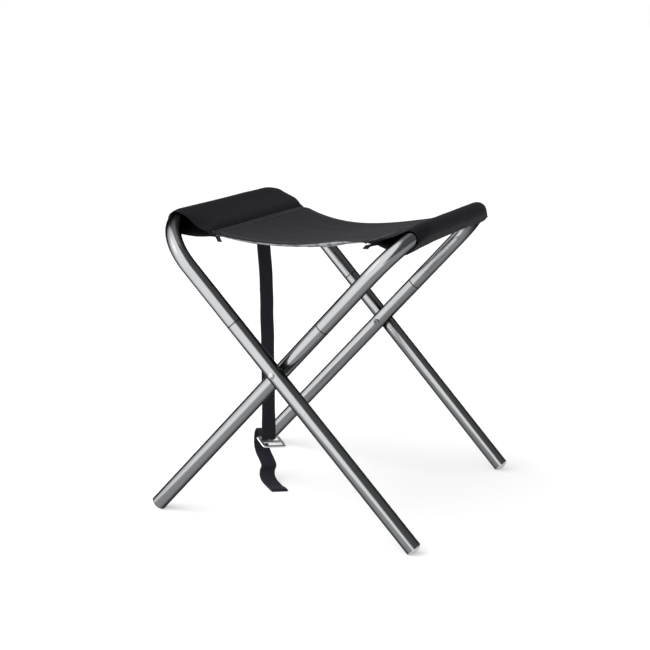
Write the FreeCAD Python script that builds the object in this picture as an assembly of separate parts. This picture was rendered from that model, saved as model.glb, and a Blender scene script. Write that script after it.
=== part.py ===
"""Folding camp stool: two hinged aluminium tube frames, a sewn cloth seat and a carrying strap.

Millimetres.  +Z is up, +Y points to the rear of the stool, and the origin lies on the floor
under the middle of the hinge axis.  The outer frame carries its crossbar on the -X side, the
inner frame on the +X side, and the two cross at rivets on a hinge axis along Y.
"""
import FreeCAD
import Part
import math
import os
from FreeCAD import Vector

# ---- tubes ---------------------------------------------------------------------------------
tube_diameter = 19.0
tube_wall = 1.2
bend_radius = 62.0            # middle line of the tube in the corners of each U
lean_angle = 42.5             # degrees, each frame from the vertical when the stool is open
outer_leg_spacing = 339.0     # middle to middle, at the hinge axis
outer_leg_splay = 0.9         # degrees, the outer legs spread towards their crossbar
crossbar_distance = 224.0     # hinge axis to crossbar, along the leg
joint_distance = 74.8         # hinge axis to the butt joint between top tube and lower leg
joint_gap = 0.4               # left open between the two tube ends on their spigot
foot_distance = 253.1         # hinge axis to the cut end of the lower leg

# ---- joint spigots and foot caps -----------------------------------------------------------
spigot_length = 60.0
spigot_wall = 1.5
spigot_clearance = 0.05       # all round, inside the tube
cap_dome_height = 4.0
cap_plug_length = 14.0
cap_plug_wall = 2.0
cap_clearance = 0.05          # all round, inside the tube

# ---- hinge rivets and washers --------------------------------------------------------------
hinge_gap = 1.0               # between outer and inner leg
rivet_diameter = 4.8
rivet_head_diameter = 7.6
rivet_head_height = 1.5
rivet_tail_height = 1.6
rivet_tail_edge = 0.5         # bevel round the tail's inner end
rivet_bore = 2.4              # hole that the broken mandrel leaves in the tail
rivet_bore_depth = 3.0
running_clearance = 0.06      # between rivet and inner leg, all round and at the tail
washer_diameter = 10.0
washer_thickness = 0.7

# ---- seat cloth ----------------------------------------------------------------------------
seat_width = 254.0            # along the crossbars
cloth_thickness = 1.0
panel_thickness = 1.2
backing_thickness = 0.5
seam_inset = 47.3             # crossbar to the outer edge of the seam, level
seam_width = 8.0
seam_drop = 15.3              # crossbar to the top of the seam, downwards
panel_sag = 12.0
sleeve_clearance = 0.3        # all round between the crossbar tube and the sleeve
tape_width = 6.0
tape_thickness = 1.0
tape_overhang = 4.0           # how far each end of a seam tape sticks out
thread_width = 0.7
thread_height = 0.35
thread_margin = 1.4           # edge of a seam or hem to the first thread row
hem_width = 10.0
cloth_gap = 0.3               # between cloth pieces that move with different frames

# ---- strap ---------------------------------------------------------------------------------
webbing_width = 20.0
webbing_thickness = 1.4
strap_yaw = 55.0              # degrees from +X to +Y, the direction of the webbing's width
strap_inset = 5.0             # outer edge of the seam to the strap, level
tip_fold_length = 12.0
floor_clearance = 0.1         # under the webbing where it lies
tip_stitch_margin = 3.0
buckle_length = 24.0
buckle_side_wall = 4.0
buckle_bar = 4.0
buckle_thickness = 2.0
buckle_side_clearance = 3.0   # webbing edge to the inside of the buckle's side wall
buckle_tilt = 20.0            # degrees, the near edge hangs lower
buckle_corner = 3.5
buckle_edge_round = 0.6
buckle_middle = (12.5, 57.0)  # along the strap's level direction, and height

# Route of the webbing's middle line: distance along the strap's level direction, and height.
# It hangs from the seam, goes down through the buckle, up round its far bar, folds over
# behind it and falls to the floor, where its end lies.
lying_height = floor_clearance + webbing_thickness / 2
strap_route = [
    (1.6, 318.0), (5.0, 275.0), (6.0, 195.0), (7.3, 115.0), (6.7, 75.0), (6.1, 58.3),
    (3.8, 57.0), (0.4, 58.2), (-0.6, 60.7), (-1.8, 66.0), (-5.0, 69.2), (-9.6, 68.8),
    (-13.0, 65.0), (-15.6, 57.5), (-16.4, 46.0), (-11.5, 34.0), (0.5, 22.5), (-0.5, 12.5),
    (8.0, 4.0), (22.0, lying_height + 0.1), (42.0, lying_height),
]

# ---- worked out from the sizes above -------------------------------------------------------
tube_radius = tube_diameter / 2
bore_radius = tube_radius - tube_wall
lean = math.radians(lean_angle)
splay = math.radians(outer_leg_splay)
outer_half_spacing = outer_leg_spacing / 2
inner_half_spacing = outer_half_spacing - tube_diameter - hinge_gap
dome_radius = (tube_radius ** 2 + cap_dome_height ** 2) / (2 * cap_dome_height)
dome_middle_distance = foot_distance + cap_dome_height - dome_radius
hinge_height = dome_middle_distance * math.cos(lean) + dome_radius
crossbar_x = crossbar_distance * math.sin(lean)
crossbar_z = hinge_height + crossbar_distance * math.cos(lean)
seam_edge_x = crossbar_x - seam_inset
seam_top_z = crossbar_z - seam_drop
seam_bottom_z = seam_top_z - 2 * cloth_thickness
panel_edge_z = seam_top_z + cloth_gap
strap_top_z = seam_bottom_z - tape_thickness - cloth_gap

os.makedirs("parts", exist_ok=True)


def save(name, shape):
    shape.exportStep("parts/" + name + ".step")


def lean_over(shape, side):
    """Turns a frame piece from its own upright plane into the leaning one; side -1 is the
    outer frame, whose crossbar goes towards -X, and side 1 the inner frame."""
    shape = shape.copy()
    shape.rotate(Vector(0, 0, 0), Vector(0, 1, 0), side * lean_angle)
    shape.translate(Vector(0, 0, hinge_height))
    return shape


def leg_point(half_spacing, angle, distance):
    """Point on a front leg's middle line, upright, at a distance above the hinge axis."""
    return Vector(0, -(half_spacing + math.tan(angle) * distance), distance)


def mirrored(shape):
    """The same piece on the rear side of the stool."""
    return shape.mirror(Vector(0, 0, 0), Vector(0, 1, 0))


def rod_between(start, end, radius):
    return Part.makeCylinder(radius, (end - start).Length, start, end - start)


def swept_rod(path, start, direction, radius):
    ring = Part.Wire(Part.makeCircle(radius, start, direction))
    return Part.Wire(path).makePipeShell([ring], True, True)


# ---- frame tubes ---------------------------------------------------------------------------
def top_path(half_spacing, angle):
    """Middle line of a U: up one leg, round two corners and the crossbar, down the other."""
    start = leg_point(half_spacing, angle, joint_distance + joint_gap / 2)
    corner = leg_point(half_spacing, angle, crossbar_distance)
    up = (corner - start).normalize()
    across = Vector(0, 1, 0)
    turn = math.acos(up.dot(across))
    reach = bend_radius * math.tan(turn / 2)
    bend_start = corner - up * reach
    bend_end = corner + across * reach
    inward = (across - up).normalize()
    bend_middle = corner + inward * (bend_radius / math.cos(turn / 2) - bend_radius)
    rear = [Vector(p.x, -p.y, p.z) for p in (bend_end, bend_middle, bend_start, start)]
    edges = [
        Part.LineSegment(start, bend_start),
        Part.Arc(bend_start, bend_middle, bend_end),
        Part.LineSegment(bend_end, rear[0]),
        Part.Arc(rear[0], rear[1], rear[2]),
        Part.LineSegment(rear[2], rear[3]),
    ]
    return [edge.toShape() for edge in edges], start, up


def top_tube(half_spacing, angle):
    path, start, up = top_path(half_spacing, angle)
    body = swept_rod(path, start, up, tube_radius)
    return body.cut(swept_rod(path, start, up, bore_radius))


def hinge_hole(radius):
    """Cutter along the hinge axis, through both walls of a leg."""
    reach = outer_leg_spacing
    return Part.makeCylinder(radius, reach, Vector(0, -reach / 2 - tube_diameter, 0), Vector(0, 1, 0))


def lower_leg(half_spacing, angle, hole_radius):
    top = leg_point(half_spacing, angle, joint_distance - joint_gap / 2)
    foot = leg_point(half_spacing, angle, -foot_distance)
    leg = rod_between(foot, top, tube_radius).cut(rod_between(foot, top, bore_radius))
    return leg.cut(hinge_hole(hole_radius))


def spigot(half_spacing, angle):
    bottom = leg_point(half_spacing, angle, joint_distance - spigot_length / 2)
    top = leg_point(half_spacing, angle, joint_distance + spigot_length / 2)
    radius = bore_radius - spigot_clearance
    return rod_between(bottom, top, radius).cut(rod_between(bottom, top, radius - spigot_wall))


def foot_cap(half_spacing, angle):
    """Domed end cap with a hollow plug that is pushed into the tube."""
    foot = leg_point(half_spacing, angle, -foot_distance)
    up = (leg_point(half_spacing, angle, 0) - foot).normalize()
    plug_top = foot + up * cap_plug_length
    plug_radius = bore_radius - cap_clearance
    ball_middle = foot + up * (dome_radius - cap_dome_height)
    ball = Part.makeSphere(dome_radius, ball_middle)
    dome = ball.common(rod_between(foot - up * dome_radius, foot, tube_radius))
    plug = rod_between(foot, plug_top, plug_radius)
    hollow = rod_between(foot, plug_top, plug_radius - cap_plug_wall)
    return dome.fuse(plug.cut(hollow)).removeSplitter()


# ---- hinge ---------------------------------------------------------------------------------
def turned(profile):
    """Solid turned about the hinge axis from (radius, y) points of its half section."""
    points = [Vector(radius, y, 0) for radius, y in profile]
    face = Part.Face(Part.makePolygon(points + points[:1]))
    return face.revolve(Vector(0, 0, 0), Vector(0, 1, 0), 360)


def hinge_rivet():
    """Blind rivet on the front side: domed head outside the outer leg, upset tail with the
    mandrel's hole inside the inner leg."""
    crown = -(outer_half_spacing + tube_radius)
    tail_face = -(inner_half_spacing - tube_radius) + running_clearance
    tail_end = tail_face + rivet_tail_height
    shank_radius = rivet_diameter / 2
    head_radius = rivet_head_diameter / 2
    head_ball = (head_radius ** 2 + rivet_head_height ** 2) / (2 * rivet_head_height)
    saddle_depth = tube_radius - math.sqrt(tube_radius ** 2 - head_radius ** 2)
    head = Part.makeSphere(head_ball, Vector(0, crown - rivet_head_height + head_ball, 0))
    head = head.common(Part.makeCylinder(head_radius, rivet_head_height,
                                         Vector(0, crown - rivet_head_height, 0), Vector(0, 1, 0)))
    skirt = Part.makeCylinder(head_radius, saddle_depth, Vector(0, crown, 0), Vector(0, 1, 0))
    leg_top = leg_point(outer_half_spacing, splay, tube_diameter)
    leg_bottom = leg_point(outer_half_spacing, splay, -tube_diameter)
    skirt = skirt.cut(rod_between(leg_bottom, leg_top, tube_radius))
    head = head.cut(rod_between(leg_bottom, leg_top, tube_radius))
    shank = Part.makeCylinder(shank_radius, tail_end - crown, Vector(0, crown, 0), Vector(0, 1, 0))
    tail = turned([(0, tail_face), (head_radius, tail_face),
                   (head_radius, tail_end - rivet_tail_edge),
                   (head_radius - rivet_tail_edge, tail_end), (0, tail_end)])
    bore = Part.makeCylinder(rivet_bore / 2, rivet_bore_depth,
                             Vector(0, tail_end - rivet_bore_depth, 0), Vector(0, 1, 0))
    return head.fuse([skirt, shank, tail]).removeSplitter().cut(bore)


def hinge_washer():
    outer_face = -(outer_half_spacing - tube_radius)
    spare = (hinge_gap - washer_thickness) / 2
    place = Vector(0, outer_face + spare, 0)
    disc = Part.makeCylinder(washer_diameter / 2, washer_thickness, place, Vector(0, 1, 0))
    hole_radius = rivet_diameter / 2 + running_clearance
    return disc.cut(Part.makeCylinder(hole_radius, washer_thickness, place, Vector(0, 1, 0)))


# ---- seat cloth ----------------------------------------------------------------------------
def prism(points, half_width):
    """Solid of an (x, z) outline, drawn out along Y to both sides."""
    corners = [Vector(x, -half_width, z) for x, z in points]
    face = Part.Face(Part.makePolygon(corners + corners[:1]))
    return face.extrude(Vector(0, 2 * half_width, 0))


def tangent_point(middle, radius, outside, side):
    """Where the line from an outside point touches a circle; side is 1 or -1."""
    away = outside - middle
    turn = math.acos(radius / away.Length) * side
    spoke = away.normalize() * radius
    cos_turn = math.cos(turn)
    sin_turn = math.sin(turn)
    x = spoke.x * cos_turn - spoke.z * sin_turn
    z = spoke.x * sin_turn + spoke.z * cos_turn
    return middle + Vector(x, 0, z)


def loop_prism(high, low, radius, tip_high, tip_low, half_width):
    """Solid with the outline of cloth pulled round two circles and drawn in to a tip on the
    inner frame's side: straight to the high circle, round both, and straight back."""
    outward = (high - tip_high).normalize()
    top = tangent_point(high, radius, tip_high, -1)
    bottom = tangent_point(low, radius, tip_low, 1)
    down = (low - high).normalize()
    side = Vector(-down.z, 0, down.x)
    if side.dot(outward) < 0:
        side = side * -1
    high_side = high + side * radius
    low_side = low + side * radius
    high_middle = high + ((top - high).normalize() + side).normalize() * radius
    low_middle = low + ((bottom - low).normalize() + side).normalize() * radius
    edges = [
        Part.LineSegment(tip_high, top),
        Part.Arc(top, high_middle, high_side),
        Part.LineSegment(high_side, low_side),
        Part.Arc(low_side, low_middle, bottom),
        Part.LineSegment(bottom, tip_low),
    ]
    if (tip_low - tip_high).Length > cloth_thickness:
        edges.append(Part.LineSegment(tip_low, tip_high))
    wire = Part.Wire([edge.toShape() for edge in edges])
    wire.translate(Vector(0, -half_width, 0))
    return Part.Face(wire).extrude(Vector(0, 2 * half_width, 0))


def sleeve_droop(half_spacing, angle):
    """How much lower along the leg the tube's inner side is at the sleeve's ends, where the
    tube has begun to bend, than in the middle of the crossbar."""
    corner = half_spacing + math.tan(angle) * crossbar_distance
    bend_start = corner - bend_radius * math.tan((math.pi / 2 + angle) / 2)
    past_start = seat_width / 2 - bend_start
    inner_bend = bend_radius - tube_radius
    return bend_radius - math.sqrt(inner_bend ** 2 - past_start ** 2) - tube_radius


def inner_sleeve(half_spacing, angle):
    """Cloth tunnel round the crossbar on the +X side, with its two plies sewn flat."""
    high = Vector(crossbar_x, 0, crossbar_z)
    droop = sleeve_droop(half_spacing, angle)
    low = high - Vector(math.sin(lean), 0, math.cos(lean)) * droop
    bore = tube_radius + sleeve_clearance
    tip = Vector(seam_edge_x + cloth_thickness, 0, seam_top_z - cloth_thickness)
    tip_high = Vector(seam_edge_x, 0, seam_top_z)
    tip_low = Vector(seam_edge_x, 0, seam_bottom_z)
    half_width = seat_width / 2
    shell = loop_prism(high, low, bore + cloth_thickness, tip_high, tip_low, half_width)
    hollow = loop_prism(high, low, bore, tip, tip, half_width)
    inner_edge_x = seam_edge_x - seam_width
    plies = prism([(inner_edge_x, seam_bottom_z), (seam_edge_x, seam_bottom_z),
                   (seam_edge_x, seam_top_z), (inner_edge_x, seam_top_z)], half_width)
    return shell.cut(hollow).fuse(plies).removeSplitter()


def other_side(shape):
    """The same piece on the -X side of the stool."""
    return shape.mirror(Vector(0, 0, 0), Vector(1, 0, 0))


def sagging_sheet(top_edge_z, thickness, half_length, sag):
    """Sheet that hangs in a round arc between x = -half_length and half_length."""
    def arc(z):
        return Part.Arc(Vector(-half_length, 0, z), Vector(0, 0, z - sag), Vector(half_length, 0, z))
    top = arc(top_edge_z)
    bottom = arc(top_edge_z - thickness)
    right = Part.LineSegment(top.EndPoint, bottom.EndPoint)
    left = Part.LineSegment(bottom.StartPoint, top.StartPoint)
    wire = Part.Wire([edge.toShape() for edge in (top, right, bottom, left)])
    wire.translate(Vector(0, -seat_width / 2, 0))
    return Part.Face(wire).extrude(Vector(0, seat_width, 0))


panel_middle_half = seam_edge_x - seam_width


def seat_panel():
    """One ply of cloth that lies on both seams and sags between them."""
    top_z = panel_edge_z + panel_thickness
    sheet = sagging_sheet(top_z, panel_thickness, panel_middle_half, panel_sag)
    flap = prism([(panel_middle_half, panel_edge_z), (seam_edge_x, panel_edge_z),
                  (seam_edge_x, top_z), (panel_middle_half, top_z)], seat_width / 2)
    return sheet.fuse([flap, other_side(flap)]).removeSplitter()


def seat_backing():
    """Coated sheet under the panel, between the seams."""
    return sagging_sheet(panel_edge_z, backing_thickness, panel_middle_half, panel_sag)


def seam_threads():
    """Two rows of thread that lie on the panel along the +X seam."""
    low_z = panel_edge_z + panel_thickness
    rows = []
    for edge in (panel_middle_half + thread_margin, seam_edge_x - thread_margin - thread_width):
        corner = Vector(edge, -seat_width / 2, low_z)
        rows.append(Part.makeBox(thread_width, seat_width, thread_height, corner))
    return Part.makeCompound(rows)


def seam_tape():
    """Binding tape under the +X seam; its two ends stick out past the cloth."""
    low_x = seam_edge_x - (seam_width + tape_width) / 2
    length = seat_width + 2 * tape_overhang
    corner = Vector(low_x, -length / 2, seam_bottom_z - tape_thickness)
    return Part.makeBox(tape_width, length, tape_thickness, corner)


def hem_threads(side):
    """Row of thread along the front (side -1) or rear (side 1) hem of the seat panel."""
    top_z = panel_edge_z + panel_thickness + thread_height
    row = sagging_sheet(top_z, thread_height, panel_middle_half - thread_margin, panel_sag)
    row = row.cut(sagging_sheet(top_z - thread_height, panel_thickness, panel_middle_half, panel_sag))
    middle = side * (seat_width / 2 - hem_width + thread_margin)
    low_corner = Vector(-seam_edge_x, middle - thread_width / 2, 0)
    return row.common(Part.makeBox(2 * seam_edge_x, thread_width, crossbar_z, low_corner))


# ---- strap ---------------------------------------------------------------------------------
strap_turn = math.radians(strap_yaw)
strap_across = Vector(math.cos(strap_turn), math.sin(strap_turn), 0)
strap_level = Vector(math.sin(strap_turn), -math.cos(strap_turn), 0)
strap_start = Vector(-(seam_edge_x - strap_inset), 0, 0)


def strap_point(level, height):
    return strap_start + strap_level * level + Vector(0, 0, height)


def route_pieces(points):
    """Runs and arcs of a route: each corner's arc has 0.45 of the shorter run beside it,
    divided by the tangent of half the turn, as its radius."""
    pieces = []
    radii = []
    start = points[0]
    for before, corner, after in zip(points, points[1:], points[2:]):
        into = (corner - before).normalize()
        out = (after - corner).normalize()
        turn = math.acos(max(-1.0, min(1.0, into.dot(out))))
        reach = 0.45 * min((corner - before).Length, (after - corner).Length)
        radius = reach / math.tan(turn / 2)
        radii.append(radius)
        bend_start = corner - into * reach
        bend_end = corner + out * reach
        inward = (out - into).normalize()
        bend_middle = corner + inward * (radius / math.cos(turn / 2) - radius)
        pieces.append((start, bend_start))
        pieces.append((bend_start, bend_middle, bend_end))
        start = bend_end
    pieces.append((start, points[-1]))
    return pieces, radii


def side_edges(pieces, shift):
    """One face of the webbing: the route's runs and arcs, moved sideways by shift."""
    edges = []
    for piece in pieces:
        if len(piece) == 2:
            normal = strap_across.cross((piece[1] - piece[0]).normalize()) * shift
            edges.append([point + normal for point in piece])
        else:
            circle = Part.Arc(*piece).toShape().Curve
            moved = []
            into = (edges[-1][1] - edges[-1][0]).normalize()
            normal = strap_across.cross(into)
            grow = shift if normal.dot(piece[0] - circle.Center) > 0 else -shift
            for point in piece:
                moved.append(point + (point - circle.Center).normalize() * grow)
            edges.append(moved)
    return edges


def band(points, thickness, width):
    """Closed solid of a flat band along a route, as wide as the webbing."""
    pieces, radii = route_pieces(points)
    one = side_edges(pieces, thickness / 2)
    two = side_edges(pieces, -thickness / 2)
    outline = []
    for points_list in one + two:
        curve = Part.LineSegment(*points_list) if len(points_list) == 2 else Part.Arc(*points_list)
        outline.append(curve.toShape())
    outline.append(Part.LineSegment(one[0][0], two[0][0]).toShape())
    outline.append(Part.LineSegment(one[-1][-1], two[-1][-1]).toShape())
    face = Part.Face(Part.Wire(Part.__sortEdges__(outline)))
    face.translate(strap_across * (-width / 2))
    return face.extrude(strap_across * width), radii


def strap_webbing():
    points = [strap_point(0, strap_top_z)]
    points += [strap_point(level, height) for level, height in strap_route]
    webbing, radii = band(points, webbing_thickness, webbing_width)
    pieces = route_pieces(points)[0]
    length = sum(Part.LineSegment(*p).length() if len(p) == 2 else Part.Arc(*p).length() for p in pieces)
    print("strap: length %.1f, radii %s" % (length, " ".join("%.1f" % r for r in radii)))
    print("strap: volume over section times length %.4f"
          % (webbing.Volume / (length * webbing_thickness * webbing_width)))
    return webbing


def tip_frame():
    """Point at the webbing's tip, and the direction back along its last run."""
    last = strap_point(*strap_route[-1])
    before = strap_point(*strap_route[-2])
    return last, (before - last).normalize()


def tip_plate(start, length, low, height, width):
    """Flat piece on the webbing's end: from start to start + length back from the tip."""
    tip, back = tip_frame()
    up = back.cross(strap_across)
    if up.z < 0:
        up = up * -1
    corner = tip + back * start + up * low - strap_across * (width / 2)
    points = [corner, corner + back * length, corner + back * length + strap_across * width,
              corner + strap_across * width]
    return Part.Face(Part.makePolygon(points + points[:1])).extrude(up * height)


def strap_tip_fold():
    """The last of the webbing, folded back on itself and sewn down."""
    return tip_plate(0, tip_fold_length, webbing_thickness / 2, webbing_thickness, webbing_width)


def strap_tip_threads():
    low = webbing_thickness * 3 / 2
    width = webbing_width - 2 * tip_stitch_margin
    rows = []
    for start in (tip_stitch_margin, tip_fold_length - tip_stitch_margin):
        rows.append(tip_plate(start, thread_width, low, thread_height, width))
    return Part.makeCompound(rows)


def strap_buckle():
    """Three-bar slider: a flat frame with two slots, tilted as it hangs on the webbing."""
    width = webbing_width + 2 * (buckle_side_clearance + buckle_side_wall)
    slot_width = width - 2 * buckle_side_wall
    slot = (buckle_length - 3 * buckle_bar) / 2
    plate = Part.makeBox(width, buckle_length, buckle_thickness,
                         Vector(-width / 2, -buckle_length / 2, -buckle_thickness / 2))
    upright = [e for e in plate.Edges if abs(e.Vertexes[0].Z - e.Vertexes[1].Z) > buckle_thickness / 2]
    plate = plate.makeFillet(buckle_corner, upright)
    for side in (-1, 1):
        middle = side * (buckle_bar + slot) / 2
        cutter = Part.makeBox(slot_width, slot, 2 * buckle_thickness,
                              Vector(-slot_width / 2, middle - slot / 2, -buckle_thickness))
        plate = plate.cut(cutter)
    flat = [e for e in plate.Edges if abs(e.BoundBox.ZLength) < buckle_edge_round / 10]
    plate = plate.makeFillet(buckle_edge_round, flat)
    plate.rotate(Vector(0, 0, 0), Vector(1, 0, 0), buckle_tilt)
    plate.rotate(Vector(0, 0, 0), Vector(0, 0, 1), strap_yaw)
    plate.translate(strap_point(*buckle_middle))
    return plate


# ---- the pieces ----------------------------------------------------------------------------
frames = (
    ("outer", -1, outer_half_spacing, splay, rivet_diameter / 2),
    ("inner", 1, inner_half_spacing, 0.0, rivet_diameter / 2 + running_clearance),
)
for name, side, half_spacing, angle, hole_radius in frames:
    save(name + "_top_tube", lean_over(top_tube(half_spacing, angle), side))
    front_pieces = {
        "leg": lower_leg(half_spacing, angle, hole_radius),
        "spigot": spigot(half_spacing, angle),
        "foot_cap": foot_cap(half_spacing, angle),
    }
    for piece, shape in front_pieces.items():
        save("%s_%s_front" % (name, piece), lean_over(shape, side))
        save("%s_%s_rear" % (name, piece), lean_over(mirrored(shape), side))

for piece, shape in (("pivot_rivet", hinge_rivet()), ("pivot_washer", hinge_washer())):
    save(piece + "_front", lean_over(shape, -1))
    save(piece + "_rear", lean_over(mirrored(shape), -1))

save("seat_panel", seat_panel())
save("seat_backing", seat_backing())
save("inner_sleeve", inner_sleeve(inner_half_spacing, 0.0))
save("outer_sleeve", other_side(inner_sleeve(outer_half_spacing, splay)))
save("inner_seam_threads", seam_threads())
save("outer_seam_threads", other_side(seam_threads()))
save("inner_seam_tape", seam_tape())
save("outer_seam_tape", other_side(seam_tape()))
save("front_hem_threads", hem_threads(-1))
save("rear_hem_threads", hem_threads(1))
save("strap_webbing", strap_webbing())
save("strap_tip_fold", strap_tip_fold())
save("strap_tip_threads", strap_tip_threads())
save("strap_buckle", strap_buckle())
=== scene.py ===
"""Folding camp stool: two anodised tube frames, a sewn cloth seat and a carrying strap.

Metres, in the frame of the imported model: +Z up, +Y to the rear, origin on the floor under the
middle of the hinge axis.
"""
import bpy
import bmesh
import math
from mathutils import Matrix, Vector, noise


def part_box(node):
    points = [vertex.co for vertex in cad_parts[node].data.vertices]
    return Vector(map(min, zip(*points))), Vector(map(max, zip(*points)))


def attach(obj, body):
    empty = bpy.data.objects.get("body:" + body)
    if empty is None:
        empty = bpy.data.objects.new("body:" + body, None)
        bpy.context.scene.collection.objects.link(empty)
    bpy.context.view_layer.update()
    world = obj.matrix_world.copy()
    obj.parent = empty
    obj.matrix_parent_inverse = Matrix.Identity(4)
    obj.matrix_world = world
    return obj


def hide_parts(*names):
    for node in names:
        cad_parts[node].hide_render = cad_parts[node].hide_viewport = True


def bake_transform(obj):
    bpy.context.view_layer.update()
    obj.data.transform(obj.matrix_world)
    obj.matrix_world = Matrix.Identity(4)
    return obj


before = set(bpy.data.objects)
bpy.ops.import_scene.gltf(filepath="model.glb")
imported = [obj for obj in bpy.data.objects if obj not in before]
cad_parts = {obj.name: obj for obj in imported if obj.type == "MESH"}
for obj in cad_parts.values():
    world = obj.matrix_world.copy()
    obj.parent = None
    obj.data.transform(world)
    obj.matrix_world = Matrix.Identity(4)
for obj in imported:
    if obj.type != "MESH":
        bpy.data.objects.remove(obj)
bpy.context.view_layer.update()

# ---- Aluminium tubes -----------------------------------------------------------------------
# Two U-bent top tubes and four straight lower legs of drawn aluminium, butted end to end over
# spigots. The anodising is dark and satin, with fine lines along the tube, a slightly cloudy
# colour and a few rubbed spots. The tubes' edges are painted darker, a painted shade, and each
# butt joint has a dark line that is grime and painted shade of the joint gap.
lean = math.radians(42.5)
hinge_height = 0.193043
joint_distance = 0.0748
grime_and_shade_half_width = 0.0007
painted_edge_shade = (0.025, 0.025, 0.028, 1.0)
joint_grime_and_shade = (0.012, 0.012, 0.013, 1.0)


class Socket:
    """One output of a shader node, so that shader maths reads as Python expressions."""

    def __init__(self, tree, link):
        self.tree = tree
        self.link = link

    def fill(self, socket, value):
        """Links an input to a Socket, or sets a constant on it."""
        if isinstance(value, Socket):
            self.tree.links.new(value.link, socket)
        else:
            socket.default_value = value

    def node(self, kind, output, settings=None, **inputs):
        """The output of a new node. Its settings come first, then its inputs, by name or as i0."""
        made = self.tree.nodes.new("ShaderNode" + kind)
        for key, value in (settings or {}).items():
            setattr(made, key, value)
        for key, value in inputs.items():
            numbered = key[0] == "i" and key[1:].isdigit()
            self.fill(made.inputs[int(key[1:]) if numbered else key.replace("_", " ")], value)
        return Socket(self.tree, made.outputs[output])

    def maths(self, operation, *values):
        return self.node("Math", 0, {"operation": operation},
                         **{"i%d" % place: value for place, value in enumerate(values)})

    def __add__(self, other):
        return self.maths("ADD", self, other)

    __radd__ = __add__

    def __mul__(self, other):
        return self.maths("MULTIPLY", self, other)

    __rmul__ = __mul__

    def __sub__(self, other):
        return self.maths("SUBTRACT", self, other)

    def __rsub__(self, other):
        return self.maths("SUBTRACT", other, self)

    def __abs__(self):
        return self.maths("ABSOLUTE", self)

    def wave(self):
        return self.maths("SINE", self)

    def above(self, level, softness):
        """0 below level, 1 above it, with a soft step between."""
        return self.node("MapRange", 0, {"interpolation_type": "SMOOTHSTEP"}, i0=self,
                         i1=level - softness, i2=level + softness, i3=0.0, i4=1.0)

    def axis(self, name):
        """One coordinate of a place."""
        return self.node("SeparateXYZ", name, Vector=self)

    def noise(self, scale, detail, roughness):
        """Cloudy noise over a place."""
        return self.node("TexNoise", 0, Vector=self, Scale=scale, Detail=detail,
                         Roughness=roughness)

    def blend(self, low, high):
        """The low colour where this mask is 0, and the high one where it is 1."""
        return self.node("Mix", 2, {"data_type": "RGBA"}, i0=self, i6=low, i7=high)

    def bump(self, strength, distance):
        """The surface direction that this height gives."""
        return self.node("Bump", "Normal", Height=self, Strength=strength, Distance=distance)


def new_finish(name):
    """A material with its shader and its object coordinates."""
    material = bpy.data.materials.new(name)
    material.use_nodes = True
    shader = material.node_tree.nodes["Principled BSDF"]
    return material, shader, Socket(material.node_tree, None).node("TexCoord", "Object")


def connect(here, shader, **inputs):
    """Links sockets and sets constants on the shader, by the shader's own socket names."""
    for key, value in inputs.items():
        here.fill(shader.inputs[key.replace("_", " ")], value)


def anodised(name, turn):
    """Dark satin anodised aluminium whose drawing lines run along a tube that leans by turn."""
    material, shader, here = new_finish(name)
    along = here.node("Mapping", "Vector", Vector=here, Rotation=(0.0, turn, 0.0),
                      Scale=(1.0, 1.0, 0.03))
    lines = along.noise(2600.0, 3.0, 0.6)
    cloud = here.noise(38.0, 4.0, 0.6)
    worn = here.noise(75.0, 5.0, 0.65).above(0.66, 0.04) * 0.5
    base = cloud.blend((0.168, 0.172, 0.176, 1.0), (0.194, 0.198, 0.202, 1.0))
    base = worn.blend(base, (0.225, 0.229, 0.233, 1.0))
    # The tube's edges, where the surface turns away from view, are blended to a dark colour: painted
    # shade.
    edge = here.node("LayerWeight", "Facing", Blend=0.5).above(0.38, 0.22)
    base = (edge * 0.85).blend(base, painted_edge_shade)
    # A dark band at each butt joint: grime, and painted shade of the joint gap.
    reach = here.axis("X") * math.sin(turn) + (here.axis("Z") - hinge_height) * math.cos(turn)
    grime_and_shade = 1.0 - abs(reach - joint_distance).above(grime_and_shade_half_width, 0.0003)
    base = (grime_and_shade * 0.9).blend(base, joint_grime_and_shade)
    connect(here, shader, Base_Color=base, Metallic=1.0,
            Roughness=0.13 + lines * 0.05 + cloud * 0.04 + grime_and_shade * 0.3,
            Normal=lines.bump(0.008, 0.0002), Specular_Tint=(0.30, 0.30, 0.32, 1.0))
    return material


def paint(node, material):
    """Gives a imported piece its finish, in every slot it has."""
    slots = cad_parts[node].material_slots
    for slot in slots:
        slot.material = material
    if not len(slots):
        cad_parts[node].data.materials.append(material)


for side, turn in (("outer", -lean), ("inner", lean)):
    aluminium = anodised("anodised_%s" % side, turn)
    for node in ("top_tube", "leg_front", "leg_rear"):
        paint("%s_%s" % (side, node), aluminium)

# ---- Joint spigots -------------------------------------------------------------------------
# Short plain aluminium tubes pressed half-way into each tube, to line up the butt joint.
# They are blackened and scratched, and only a hairline of them shows at each joint.
mill, shader, here = new_finish("spigot_aluminium")
drawn = here.node("Mapping", "Vector", Vector=here, Scale=(1.0, 1.0, 0.08))
scratches = drawn.noise(1400.0, 4.0, 0.7)
connect(here, shader, Metallic=1.0, Roughness=0.22 + scratches * 0.16,
        Base_Color=scratches.blend((0.08, 0.08, 0.085, 1.0), (0.16, 0.16, 0.165, 1.0)),
        Normal=scratches.bump(0.08, 0.0002))
for side in ("outer", "inner"):
    for end in ("front", "rear"):
        paint("%s_spigot_%s" % (side, end), mill)

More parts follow.
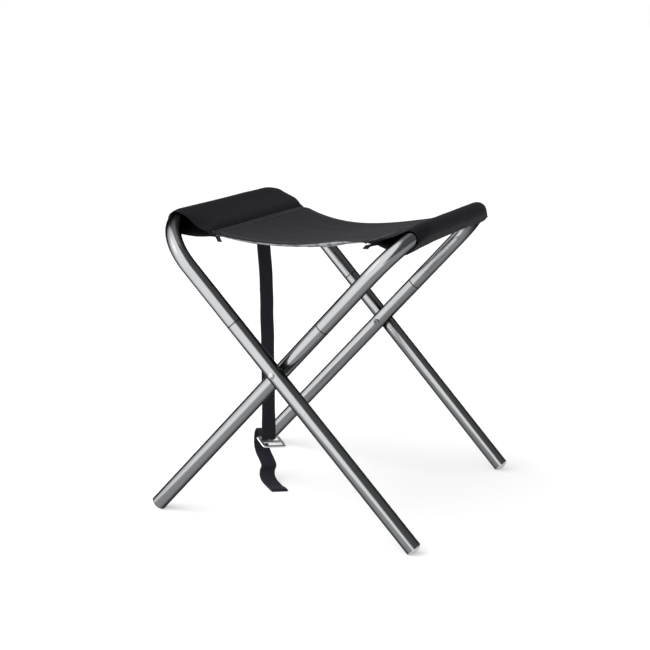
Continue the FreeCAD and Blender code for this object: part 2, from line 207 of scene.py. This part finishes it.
# ---- Foot caps -----------------------------------------------------------------------------
# Domed grey plastic caps, moulded with a plug that is pushed into the open end of each leg.
# The underside of the dome is scuffed by the ground, and darker.
scuff_height = 0.0045
ground_dirt = (0.20, 0.19, 0.18, 1.0)
cap, shader, here = new_finish("foot_cap_plastic")
grain = here.noise(1500.0, 3.0, 0.6)
plastic = here.noise(120.0, 3.0, 0.5).blend((0.40, 0.40, 0.41, 1.0), (0.50, 0.50, 0.51, 1.0))
dirt = (1.0 - here.axis("Z").above(scuff_height, 0.003)) * here.noise(260.0, 4.0, 0.6).above(0.45, 0.2)
connect(here, shader, Metallic=0.0, Roughness=0.42 + grain * 0.2,
        Base_Color=dirt.blend(plastic, ground_dirt), Normal=grain.bump(0.12, 0.0003))
for side in ("outer", "inner"):
    for end in ("front", "rear"):
        paint("%s_foot_cap_%s" % (side, end), cap)

# ---- Hinge rivets and washers --------------------------------------------------------------
# Two blind steel rivets on which the frames turn, and a pale nylon washer between each pair of
# crossing legs. The front rivet shows its head, and the rear one its pulled tail. The rear rivet's
# steel is painted darker: painted shade, deeper in under the seat.
# The rear rivet's copy of the steel is darker: painted shade, deeper in under the seat.
for end, dull, bright in (("front", 0.19, 0.27), ("rear", 0.07, 0.11)):
    steel, shader, here = new_finish("rivet_steel_" + end)
    marks = here.noise(900.0, 4.0, 0.65)
    connect(here, shader, Metallic=1.0, Roughness=0.18 + marks * 0.18,
            Base_Color=marks.blend((dull, dull, dull, 1.0), (bright, bright, bright, 1.0)),
            Normal=marks.bump(0.10, 0.0002))
    paint("pivot_rivet_" + end, steel)
nylon, shader, here = new_finish("washer_nylon")
flow = here.noise(700.0, 3.0, 0.55)
connect(here, shader, Roughness=0.45 + flow * 0.15,
        Base_Color=flow.blend((0.52, 0.52, 0.50, 1.0), (0.62, 0.62, 0.60, 1.0)),
        Normal=flow.bump(0.10, 0.0002))
for end in ("front", "rear"):
    paint("pivot_washer_%s" % end, nylon)

# ---- Cloth sleeves -------------------------------------------------------------------------
# One sheet of black woven polyester round each crossbar, its two plies sewn flat at the seam.
# It is cut wider than the tube needs, so it hangs loose, bulges and creases along the bar.
crossbar_x = 0.151332
crossbar_z = 0.358193
seam_edge_x = 0.104032
seam_top_z = 0.342893
seam_width = 0.008
seam_inner_x = seam_edge_x - seam_width
seam_rear_y = 0.1285
ply = 0.001
bore_radius = 0.0098
bend_outer_radius = 0.0715
bar_side_x = crossbar_x - 0.003
ply_end_x = crossbar_x - 0.004


def woven(name, dark, light, yarn, rough, sheen):
    """Plain woven polyester, with warp and weft seen at close range and a mottled face. The rib crests
    carry a painted highlight.
    """
    material, shader, here = new_finish(name)
    cloth_place = here.node("TexCoord", "UV")
    across = cloth_place.axis("X") * (math.pi / yarn)
    along = cloth_place.axis("Y") * (math.pi / yarn)
    ribs = abs((along * 2.0).wave()) * 0.5 + across.wave() * along.wave() * 0.5
    mottle = here.noise(85.0, 4.0, 0.6)
    lint = here.noise(650.0, 3.0, 0.6)
    creases = here.noise(30.0, 5.0, 0.6)
    lint_colour = tuple(min(1.0, 1.5 * share) for share in light)
    rib_highlight_colour = tuple(1.6 * share for share in light)
    base = (lint.above(0.62, 0.05) * 0.5).blend(mottle.blend(dark, light), lint_colour)
    # The rib crests are blended lighter: a painted highlight on the yarn tops.
    base = (ribs.above(0.0, 0.5) * 0.28).blend(base, rib_highlight_colour)
    fine = (ribs * 0.7 + lint * 0.3).bump(0.35, 0.0002)
    coarse = here.node("Bump", "Normal", Height=creases, Strength=0.10, Distance=0.002, Normal=fine)
    connect(here, shader, Base_Color=base, Roughness=rough + mottle * 0.12, Normal=coarse,
            Sheen_Weight=sheen, Sheen_Roughness=0.5, Specular_IOR_Level=0.05)
    return material


def add_piece(bm, name, material, smooth=True):
    """Makes a finished bmesh a piece of its own, in one material."""
    mesh = bpy.data.meshes.new(name)
    bm.to_mesh(mesh)
    bm.free()
    mesh.materials.append(material)
    for polygon in mesh.polygons:
        polygon.use_smooth = smooth
    piece = bpy.data.objects.new(name, mesh)
    bpy.context.scene.collection.objects.link(piece)
    return piece


def sheet_piece(name, columns, rows, shape, across, along, thickness, material):
    """A grid laid out by shape(u, v), with its weave's UV in metres, given a wall."""
    bm = bmesh.new()
    bmesh.ops.create_grid(bm, x_segments=columns, y_segments=rows, size=0.5)
    uv = bm.loops.layers.uv.new("weave")
    for face in bm.faces:
        for loop in face.loops:
            place = loop.vert.co
            loop[uv].uv = ((place.x + 0.5) * across, (place.y + 0.5) * along)
    for vert in bm.verts:
        vert.co = shape(vert.co.x + 0.5, vert.co.y + 0.5)
    bmesh.ops.recalc_face_normals(bm, faces=bm.faces)
    bmesh.ops.solidify(bm, geom=bm.faces[:], thickness=thickness)
    bmesh.ops.recalc_face_normals(bm, faces=bm.faces)
    return add_piece(bm, name, material)


def bend_with_frames(piece):
    """The piece is sewn to both frames; here its placement is only baked into its mesh."""
    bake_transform(piece)


def limit(value, low=0.0, high=1.0):
    return max(low, min(high, value))


def soft_step(value, low, high):
    """0 up to low and 1 from high on, with a smooth rise between."""
    share = limit((value - low) / (high - low))
    return share * share * (3.0 - 2.0 * share)


def hump(value, middle, width):
    """A bell curve: 1 at the middle, and almost 0 two widths away."""
    return math.exp(-(((value - middle) / width) ** 2))


def tangent(middle, radius, outside, side):
    """Where the line from an outside point touches a circle, in the x-z plane."""
    away = outside - middle
    turn = math.acos(radius / away.length) * side
    spoke = away.normalized() * radius
    c, s = math.cos(turn), math.sin(turn)
    return middle + Vector((spoke.x * c - spoke.y * s, spoke.x * s + spoke.y * c))


def loop_path(droop):
    """The middle of the sleeve's cloth as seen from its end, on the inner frame's side: from the
    seam along the top ply, round the bar, down by the droop, and back along the lower ply."""
    radius = bore_radius + ply / 2
    high = Vector((crossbar_x, crossbar_z))
    low = high + Vector((-math.sin(lean), -math.cos(lean))) * droop
    tip_high = Vector((seam_edge_x, seam_top_z - ply / 2))
    tip_low = Vector((seam_edge_x, seam_top_z - 3 * ply / 2))
    top = tangent(high, radius, tip_high, -1)
    bottom = tangent(low, radius, tip_low, 1)
    start_angle = math.atan2(top.y - high.y, top.x - high.x)
    side_angle = -lean
    end_angle = math.atan2(bottom.y - low.y, bottom.x - low.x)
    steps = 12
    points = [Vector((seam_inner_x, tip_high.y)), tip_high, top]
    for step in range(1, steps + 1):
        angle = start_angle + (side_angle - start_angle) * step / steps
        points.append(high + Vector((math.cos(angle), math.sin(angle))) * radius)
    for step in range(steps + 1):
        angle = side_angle + (end_angle - side_angle) * step / steps
        points.append(low + Vector((math.cos(angle), math.sin(angle))) * radius)
    points += [tip_low, Vector((seam_inner_x, tip_low.y))]
    return points


def length_of(points):
    return sum((after - before).length for before, after in zip(points, points[1:]))


def at(points, share):
    """The point that share of the way along a line of points."""
    left = share * length_of(points)
    for before, after in zip(points, points[1:]):
        length = (after - before).length
        if left <= length or after is points[-1]:
            return before + (after - before) * min(1.0, left / max(length, 1e-9))
        left -= length


sleeve_facts = {
    "outer": {"droop": 0.0028, "slack": 0.0045, "bulge": 0.0034, "front": -0.128, "rear": 0.1405,
              "seam_lift": 0.0, "bend_start": 0.110, "front_wave": 0.0024},
    "inner": {"droop": 0.0128, "slack": 0.0055, "bulge": 0.0034, "front": -0.1235, "rear": 0.1415,
              "seam_lift": 0.003, "bend_start": 0.0875, "front_wave": 0.0},
}
stations = 12
slack_reach = 0.16
mouth_reach = 0.10
mouth_dip = 0.0012
lower_ply_sag = 0.0018
deepest_follow = 0.0180
bend_hug = 0.85
ruck_height = 0.0006
pucker_height = 0.00025
bulge_peak = 0.20
bulge_end = math.exp(1.0 - 1.0 / bulge_peak) / bulge_peak
sleeve_cloth = woven("sleeve_cloth", (0.0036, 0.0032, 0.0048, 1.0), (0.0058, 0.0052, 0.0075, 1.0),
                     yarn=0.0005, rough=0.80, sheen=0.02)


def seam_lift(side, back):
    """How far the seam is pulled up: all of it in front, and a fifth of it at the rear."""
    return sleeve_facts[side]["seam_lift"] * (1.0 - 0.8 * back)


for side, sign in (("outer", -1), ("inner", 1)):
    facts = sleeve_facts[side]
    paths = []
    for station in range(stations + 1):
        v = station / stations
        slack = hump(v, 0.0, slack_reach) + 0.6 * hump(v, 1.0, slack_reach)
        paths.append(loop_path(facts["droop"] + facts["slack"] * slack))
    girth = length_of(paths[-1])
    sleeve_length = facts["rear"] - facts["front"]

    def sleeve_shape(u, v):
        """u runs from the seam over the bar and back under it, and v from front to rear."""
        place = min(stations - 0.001, v * stations)
        station = int(place)
        flat = at(paths[station], u).lerp(at(paths[station + 1], u), place - station)
        on_ply = flat.x < bar_side_x
        span = limit((flat.x - seam_edge_x) / (ply_end_x - seam_edge_x))
        arch = math.sin(math.pi * span) if on_ply else 0.0
        mouth = hump(v, 0.0, mouth_reach)
        rear = seam_rear_y + (facts["rear"] - seam_rear_y) * soft_step(span, 0.0, 0.5)
        y = facts["front"] + v * (rear - facts["front"])

        past_bend = max(0.0, abs(y) - facts["bend_start"])
        bend_drop = bend_outer_radius - math.sqrt(bend_outer_radius ** 2 - past_bend ** 2)
        follow = min(deepest_follow, bend_hug * bend_drop)
        follow *= limit((flat.x - seam_edge_x) / (crossbar_x - seam_edge_x))
        follow *= 1.0 - limit((u - 0.5) / 0.12)

        if u >= 0.5:
            drop = lower_ply_sag * arch * (0.6 + 0.4 * mouth)
        elif on_ply:
            rise = (span / bulge_peak) * math.exp(1.0 - span / bulge_peak) - span * bulge_end
            drop = mouth_dip * arch * mouth - facts["bulge"] * rise * (1.0 - 0.3 * mouth)
            drop += facts["front_wave"] * mouth * (hump(span, 0.32, 0.16) - 0.7 * hump(span, 0.78, 0.15))
        else:
            drop = 0.0

        loose = math.sin(math.pi * limit((u - 0.06) / 0.88))
        ruck = noise.noise(Vector((u * 3.0, y * 22.0, sign * 5.0))) * ruck_height * loose
        near_seam = hump(flat.x, seam_edge_x, 0.010) if u < 0.5 else 0.0
        pucker = math.sin(y * 330.0 + sign + 2.0 * math.sin(y * 61.0)) * pucker_height * near_seam
        lift = seam_lift(side, v) * (1.0 - span) if on_ply else 0.0
        out = Vector((flat.x - crossbar_x, flat.y - crossbar_z)).normalized() * max(0.0, ruck)
        return Vector((sign * (flat.x + out.x - math.sin(lean) * follow), y,
                       flat.y + out.y - math.cos(lean) * follow + pucker - drop + lift))

    sleeve = sheet_piece("%s_sleeve_cloth" % side, 76, 150, sleeve_shape, girth, sleeve_length,
                         ply, sleeve_cloth)
    bend_with_frames(sleeve)
    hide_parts("%s_sleeve" % side)

# ---- Seat panel ----------------------------------------------------------------------------
# One ply of the same cloth, sewn down on both sleeves' plies along its left and right edges.
# It sags in a shallow curve between the frames, is hemmed front and rear, and has a raised ridge
# where its edge is turned under beside the seam.
half_width = 0.127
panel_edge_z = seam_top_z + 0.0003
panel_thickness = 0.0012
sag_front = 0.0070
sag_rear_more = 0.0090
sag_middle_more = 0.0024
sag_length_share = 1.015
edge_curl = 0.0030
rear_hollow = 0.0014
near_ripple = 0.00035
wide_ripple = 0.00018
crease_height = 0.0007
ridge_x = 0.1012
ridge_height = 0.0016
dimple_x = 0.0966
dimple_depth = 0.0006
seat_cloth = woven("seat_cloth", (0.0066, 0.0060, 0.0088, 1.0), (0.0098, 0.0090, 0.0126, 1.0),
                   yarn=0.0006, rough=0.80, sheen=0.03)


def how_far_back(y):
    """0 at the seat's front edge, 1 at its rear edge."""
    return (y + half_width) / (2 * half_width)


def sag_depth(x, y):
    """How far the panel hangs below its seams: shallow in front, deep at the rear, and deepest
    left of the middle. Its front edge curls up a little on the right."""
    share = limit(x / seam_inner_x, -1.0, 1.0)
    back = how_far_back(y)
    depth = sag_front + sag_rear_more * back + sag_middle_more * math.sin(math.pi * limit(back))
    curl = edge_curl * hump(x, 0.062, 0.032) * math.exp(-(y + half_width) / 0.018)
    return depth * (1.0 - share ** 2) * (1.0 - 0.35 * share) - curl


def panel_middle(x, y):
    """Height of the middle of the panel's cloth, with its tension ripples and turned-under edges."""
    inside = 1.0 - limit(x / seam_inner_x, -1.0, 1.0) ** 2
    back = limit(how_far_back(y))
    lift = seam_lift("inner", back) * (1.0 + limit(x / seam_edge_x, -1.0, 1.0)) / 2
    hollow = rear_hollow * hump(x, 0.080, 0.020) * back * back
    ripple = near_ripple * hump(x, 0.070, 0.022) * math.sin(y * 185.0 + x * 30.0)
    ripple += wide_ripple * inside * math.sin(y * 120.0 - x * 9.0)
    crease = noise.noise(Vector((x * 16.0, y * 11.0, 2.0))) * crease_height * inside
    ridge = ridge_height * hump(abs(x), ridge_x, 0.0019) * (1.0 - back ** 12)
    dimple = dimple_depth * hump(abs(x), dimple_x, 0.0014)
    return (panel_edge_z + panel_thickness / 2 + lift - hollow - sag_depth(x, y) + ripple + crease
            + ridge - dimple)


def panel_shape(u, v):
    x = (u - 0.5) * 2 * seam_edge_x
    y = -half_width + v * (2 * half_width + 0.002)
    return Vector((x, y, panel_middle(x, y)))


flat_across = 2 * seam_edge_x * sag_length_share
panel = sheet_piece("seat_panel_cloth", 140, 150, panel_shape, flat_across, 2 * half_width,
                    panel_thickness, seat_cloth)
bend_with_frames(panel)
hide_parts("seat_panel")

# ---- Backing -------------------------------------------------------------------------------
# A thin grey sheet coated on its underside, sewn in with the panel so that it hangs under it.
# The coating is glossy and creases into fine flat wrinkles, with a painted highlight on the fold
# crests. Its front edge droops as a thin lip.
backing_thickness = 0.0005
backing_gap = 0.0003
wrinkle_height = 0.0007
fine_wrinkle_height = 0.0004
lip_depth = 0.0040
lip_share = 0.06
lip_fade = 0.020
coated, shader, here = new_finish("coated_backing")
wrinkles = here.noise(260.0, 5.0, 0.7)
folds = here.noise(95.0, 4.0, 0.6)
# The coating is painted lighter where the folds stand highest: a painted highlight on the fold crests.
fold_crest_highlight = folds.above(0.50, 0.10)
connect(here, shader, Roughness=0.22 + wrinkles * 0.14, Specular_IOR_Level=0.28,
        Base_Color=fold_crest_highlight.blend((0.040, 0.042, 0.045, 1.0), (0.14, 0.144, 0.149, 1.0)),
        Normal=(wrinkles + folds * 2.0).bump(0.7, 0.0016))


def backing_shape(u, v):
    x = (u - 0.5) * 2 * seam_inner_x
    inside = max(0.0, 1.0 - (x / seam_inner_x) ** 2)
    lip = 0.0002 + inside * (0.0002 + lip_depth * hump(x, 0.052, 0.024))
    loose = noise.noise(Vector((x * 70.0, v * 14.0, 8.0))) * wrinkle_height
    loose += noise.noise(Vector((x * 150.0, v * 22.0, 3.0))) * fine_wrinkle_height
    if v < lip_share:
        down = v / lip_share
        y = -half_width - 0.0004 - 0.0009 * math.sin(math.pi * down) * inside + loose * 1.5 * down
        hang = lip * down
    else:
        behind = (v - lip_share) / (1.0 - lip_share) * 2 * half_width
        y = -half_width - 0.0002 + behind
        hang = lip * hump(behind, 0.0, lip_fade) + 0.0004 * inside
        hang -= (loose - wrinkle_height) * inside
    under_panel = panel_middle(x, y) - panel_thickness / 2 - backing_thickness / 2 - backing_gap
    return Vector((x, y, under_panel - hang))


backing = sheet_piece("seat_backing_cloth", 120, 130, backing_shape, 2 * seam_inner_x,
                      2 * half_width, backing_thickness, coated)
bend_with_frames(backing)
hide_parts("seat_backing")

# ---- Stitching -----------------------------------------------------------------------------
# Two rows of lockstitch hold the panel to each pair of plies, and one row closes each hem.
# Every stitch is a short piece of thread that dips into the cloth at both ends.
stitch_pitch = 0.0032
stitch_length = 0.0025
thread_radius = 0.00035
thread_lift = 0.0001
row_end_inset = 0.001
seam_row_inset = 0.00175
hem_row_inset = 0.0086
thread, shader, here = new_finish("sewing_thread")
twist = here.noise(2600.0, 2.0, 0.5)
connect(here, shader, Roughness=0.55 + twist * 0.2, Sheen_Weight=0.3,
        Base_Color=twist.blend((0.010, 0.010, 0.012, 1.0), (0.040, 0.040, 0.044, 1.0)),
        Normal=twist.bump(0.3, 0.0002))


def stitch(bm, middle, way):
    """One stitch: a ball of thread drawn out that way and slightly flattened."""
    made = bmesh.ops.create_uvsphere(bm, u_segments=8, v_segments=6, radius=thread_radius)
    turn = way.to_track_quat("X", "Z").to_matrix().to_4x4()
    size = Matrix.Diagonal((stitch_length / (2 * thread_radius), 1.0, 0.8, 1.0))
    bmesh.ops.transform(bm, matrix=Matrix.Translation(middle) @ turn @ size, verts=made["verts"])


def on_panel(point):
    """The place on the panel's upper face, where the thread lies, above or below a point."""
    face = panel_middle(point.x, point.y) + panel_thickness / 2
    return Vector((point.x, point.y, face + thread_lift))


def sewn(name, rows, replaced):
    """Straight rows of stitches laid on the panel, each given by its first and last place."""
    bm = bmesh.new()
    for first, last in rows:
        direction = (last - first).normalized()
        for number in range(int((last - first).length / stitch_pitch)):
            reach = (number + 0.5) * stitch_pitch
            middle = on_panel(first + direction * reach)
            stitch(bm, middle, on_panel(first + direction * (reach + 0.0005)) - middle)
    piece = add_piece(bm, name, thread)
    bend_with_frames(piece)
    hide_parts(replaced)


for side, sign in (("outer", -1), ("inner", 1)):
    rows = []
    for x in (seam_inner_x + seam_row_inset, seam_edge_x - seam_row_inset):
        rows.append((Vector((sign * x, -half_width + row_end_inset, 0)),
                     Vector((sign * x, half_width - row_end_inset, 0))))
    sewn("%s_seam_stitches" % side, rows, "%s_seam_threads" % side)
for side, sign in (("front", -1), ("rear", 1)):
    y = sign * (half_width - hem_row_inset)
    row = (Vector((-seam_inner_x + 2 * row_end_inset, y, 0)),
           Vector((seam_inner_x - 2 * row_end_inset, y, 0)))
    sewn("%s_hem_stitches" % side, [row], "%s_hem_threads" % side)

# ---- Seam tapes ----------------------------------------------------------------------------
# A narrow black binding tape is sewn under each seam, through both plies.
# Its front end is left longer than the cloth and sticks out, pointing in and down.
tape_middle_x = seam_edge_x - 0.004
tape_width = 0.006
tape_thickness = 0.0015
tape_middle_z = seam_top_z - 2 * ply - 0.0008
tail_length = 0.008
tape_length = 2 * half_width + tail_length
tape_cloth = woven("binding_tape", (0.0055, 0.0050, 0.0070, 1.0), (0.0090, 0.0082, 0.0110, 1.0),
                   yarn=0.0004, rough=0.82, sheen=0.02)
for side, sign, turn_in, turn_down, inward in (("outer", -1, 0.95, 0.60, 0.0050),
                                               ("inner", 1, 0.45, 0.38, 0.0030)):

    def tape_shape(u, v):
        y = -half_width - tail_length + v * tape_length
        tail = max(0.0, -y - half_width)
        x = tape_middle_x + (u - 0.5) * tape_width - tail * turn_in
        x -= inward * hump(y, -half_width, 0.01)
        under_plies = tape_middle_z + seam_lift(side, limit(how_far_back(y)))
        return Vector((sign * x, y + tail * 0.55, under_plies - tail * turn_down))

    tape = sheet_piece("%s_binding_tape" % side, 6, 150, tape_shape, tape_width, tape_length,
                       tape_thickness, tape_cloth)
    bend_with_frames(tape)
    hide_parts("%s_seam_tape" % side)

# ---- Carrying strap ------------------------------------------------------------------------
# Black ribbed polyester webbing, 20 mm wide, sewn under the left seam. It passes down through a
# three-bar slider, turns up round a bar of it, and falls to the floor. Its tip is folded back
# once and sewn down with two rows of stitches.
webbing_width = 0.020
webbing_thickness = 0.0014
webbing_sway = 0.0007
tip_fold_length = 0.012
tip_thread_lift = 0.0026
strap_yaw = math.radians(55.0)
strap_across = Vector((math.cos(strap_yaw), math.sin(strap_yaw), 0))
strap_level = Vector((math.sin(strap_yaw), -math.cos(strap_yaw), 0))
buckle_roll = math.radians(-8.0)
strap_points = [
    (-101.2, 0.0, 339.0), (-100.1, 0.5, 333.0), (-98.7, 1.1, 320.0), (-93.2, -2.2, 275.0),
    (-91.7, -3.2, 195.0), (-90.8, -3.7, 115.0), (-90.7, -4.2, 75.0), (-90.9, -3.9, 57.3),
    (-92.8, -2.6, 56.0), (-95.6, -0.7, 57.2), (-96.4, -0.1, 59.7), (-97.4, 0.6, 65.0),
    (-100.0, 2.4, 68.2), (-103.8, 5.1, 67.8), (-106.5, 7.0, 64.0), (-108.7, 8.5, 56.5),
    (-109.1, 9.3, 45.5), (-105.7, 8.1, 35.5), (-98.1, 3.3, 28.0), (-91.5, -1.9, 21.0),
    (-96.3, -0.0, 12.5), (-92.8, -5.7, 5.7), (-80.0, -17.0, 1.8), (-60.0, -36.0, 1.7),
]
webbing = woven("strap_webbing_cloth", (0.0092, 0.0084, 0.0118, 1.0), (0.0138, 0.0128, 0.0172, 1.0),
                yarn=0.0008, rough=0.80, sheen=0.02)

curve = bpy.data.curves.new("strap_line", "CURVE")
curve.dimensions = "3D"
curve.resolution_u = 24
spline = curve.splines.new("NURBS")
spline.points.add(len(strap_points) - 1)
for point, place in zip(spline.points, strap_points):
    point.co = (Vector(place) / 1000).to_4d()
spline.order_u = 3
spline.use_endpoint_u = True
holder = bpy.data.objects.new("strap_line", curve)
line_mesh = bpy.data.meshes.new_from_object(holder)
strap_line = [vert.co.copy() for vert in line_mesh.vertices]
bpy.data.meshes.remove(line_mesh)
bpy.data.objects.remove(holder)
bpy.data.curves.remove(curve)
strap_length = length_of(strap_line)
strap_steps = [0.0]
for before, after in zip(strap_line, strap_line[1:]):
    strap_steps.append(strap_steps[-1] + (after - before).length)


def strap_point(reach):
    """The point that far along the webbing's middle line."""
    for step, (low, high) in enumerate(zip(strap_steps, strap_steps[1:])):
        if reach <= high or step == len(strap_steps) - 2:
            share = (reach - low) / max(high - low, 1e-9)
            return strap_line[step].lerp(strap_line[step + 1], share)


def strap_width_way(reach):
    """The way the webbing's width points: it turns at the seam, is level in the buckle's slot
    apart from the buckle's roll, and turns to face forward along its tail."""
    turn = math.radians(8.0) + math.radians(27.0) * (1.0 - soft_step(reach, 0.0, 0.025))
    turn *= 1.0 - soft_step(reach, 0.240, 0.272)
    turn -= math.radians(24.0) * soft_step(reach, 0.318, 0.352)
    roll = buckle_roll * soft_step(reach, 0.255, 0.278) * (1.0 - soft_step(reach, 0.315, 0.345))
    across = Matrix.Rotation(turn, 3, "Z") @ strap_across
    level = Matrix.Rotation(turn, 3, "Z") @ strap_level
    return Matrix.Rotation(roll, 3, level) @ across


def strap_shape(u, v):
    reach = v * strap_length
    hanging = 1.0 - soft_step(reach, 0.20, 0.26)
    sway = noise.noise(Vector((v * 16.0, 3.0, 1.0))) * webbing_sway * hanging
    return strap_point(reach) + strap_width_way(reach) * ((u - 0.5) * webbing_width + sway)


def tip_shape(u, v):
    """The folded end: it lies on the last of the webbing, and wraps round the tip."""
    reach = strap_length - tip_fold_length * v
    ahead = (strap_point(strap_length) - strap_point(strap_length - 0.004)).normalized()
    across = strap_width_way(reach)
    up = across.cross(ahead)
    if up.z < 0:
        up = -up
    lifted = webbing_thickness * soft_step(v, 0.0, 0.10)
    return strap_point(reach) + across * ((u - 0.5) * webbing_width) + up * lifted + ahead * 0.0004


strap = sheet_piece("strap_ribbon", 10, 320, strap_shape, webbing_width, strap_length,
                    webbing_thickness, webbing)
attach(strap, "strap")
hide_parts("strap_webbing")

tip_fold = sheet_piece("strap_tip_ply", 10, 24, tip_shape, webbing_width, tip_fold_length,
                       webbing_thickness * 0.9, webbing)
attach(tip_fold, "strap")
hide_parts("strap_tip_fold")

bm = bmesh.new()
for row_reach in (0.003, 0.009):
    middle = strap_point(strap_length - row_reach) + Vector((0, 0, tip_thread_lift))
    across = strap_width_way(strap_length - row_reach)
    for number in range(-2, 3):
        stitch(bm, middle + across * (number * stitch_pitch), across)
tip_stitches = add_piece(bm, "strap_tip_stitches", thread, smooth=False)
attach(tip_stitches, "strap")
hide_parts("strap_tip_threads")

# ---- Strap buckle --------------------------------------------------------------------------
# A three-bar slider of bright zinc, pressed from sheet, through which the webbing is threaded.
# It rides on the webbing as a weight and hangs a little askew.
buckle_slip = strap_level * 0.0020 + Vector((0.0015, 0.0007, -0.0015))
zinc, shader, here = new_finish("buckle_zinc")
plating = here.noise(380.0, 4.0, 0.6)
cloudy = here.noise(60.0, 3.0, 0.6)
connect(here, shader, Metallic=1.0, Roughness=0.30 + plating * 0.16,
        Base_Color=cloudy.blend((0.54, 0.545, 0.55, 1.0), (0.68, 0.685, 0.69, 1.0)),
        Normal=plating.bump(0.12, 0.0003))
bm = bmesh.new()
bm.from_mesh(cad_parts["strap_buckle"].data)
bmesh.ops.remove_doubles(bm, verts=bm.verts, dist=1e-6)
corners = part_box("strap_buckle")
buckle_middle = (Vector(corners[0]) + Vector(corners[1])) / 2
roll = Matrix.Rotation(buckle_roll, 4, strap_level)
hang = Matrix.Translation(buckle_middle + buckle_slip) @ roll @ Matrix.Translation(-buckle_middle)
bmesh.ops.transform(bm, verts=bm.verts, matrix=hang)
buckle = add_piece(bm, "three_bar_slider", zinc)
buckle.data.set_sharp_from_angle(angle=math.radians(40.0))
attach(buckle, "strap")
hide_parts("strap_buckle")

# ---- Floor, light and camera ---------------------------------------------------------------
# A pale floor that glows more at the front left, where the tubes reflect it. The world is one
# large softbox high at the front left, over a bright horizon. One lamp stands on that side and
# one hangs overhead.
floor_size = 60.0
glow_start = 0.42
softbox_strength = 3.7
darkest_sky = 0.28
lamps = (("key_light", (-1.3, -1.2, 1.3), 1.1, 4.0), ("top_light", (-0.2, 0.3, 2.2), 1.6, 4.0))
lamp_target = Vector((0, 0, 0.2))
camera_place = Vector((0.6862, -1.5617, 0.5960))
camera_target = Vector((-0.01293, 0.0, 0.2157))

floor_finish, shader, here = new_finish("floor_finish")
lit = (here.axis("X") * -0.75 - here.axis("Y") * 0.65).above(glow_start, 0.14)
connect(here, shader, Base_Color=(0.50, 0.50, 0.50, 1.0), Roughness=0.8, Specular_IOR_Level=0.0,
        Emission_Color=lit.blend((0.15, 0.15, 0.15, 1.0), (1.0, 1.0, 1.0, 1.0)),
        Emission_Strength=2.8)
bm = bmesh.new()
bmesh.ops.create_grid(bm, x_segments=1, y_segments=1, size=floor_size)
floor = add_piece(bm, "studio_floor", floor_finish, smooth=False)

studio = bpy.data.worlds.new("studio")
studio.use_nodes = True
look = Socket(studio.node_tree, None).node("TexCoord", "Generated")
softbox = (look.axis("Z") * 0.38 - look.axis("X") * 0.55 - look.axis("Y") * 0.74).above(0.51, 0.08)
horizon = 1.0 - look.axis("Z").above(0.10, 0.07)
glow = look.maths("MAXIMUM", softbox * softbox_strength, horizon)
background = studio.node_tree.nodes["Background"]
look.fill(background.inputs["Strength"], look.maths("MAXIMUM", glow, darkest_sky))
look.fill(background.inputs["Color"], (1.0, 1.0, 1.0, 1.0))
bpy.context.scene.world = studio
bpy.context.scene.view_settings.view_transform = "Standard"

for name, place, size, power in lamps:
    lamp = bpy.data.lights.new(name, "AREA")
    lamp.shape = "DISK"
    lamp.size = size
    lamp.energy = power
    light = bpy.data.objects.new(name, lamp)
    light.location = place
    light.rotation_euler = (lamp_target - Vector(place)).to_track_quat("-Z", "Y").to_euler()
    bpy.context.scene.collection.objects.link(light)

lens = bpy.data.cameras.new("view")
lens.lens = 77.32
lens.sensor_width = 36.0
camera = bpy.data.objects.new("view", lens)
camera.location = camera_place
camera.rotation_euler = (camera_target - camera_place).to_track_quat("-Z", "Y").to_euler()
bpy.context.scene.collection.objects.link(camera)
bpy.context.scene.camera = camera
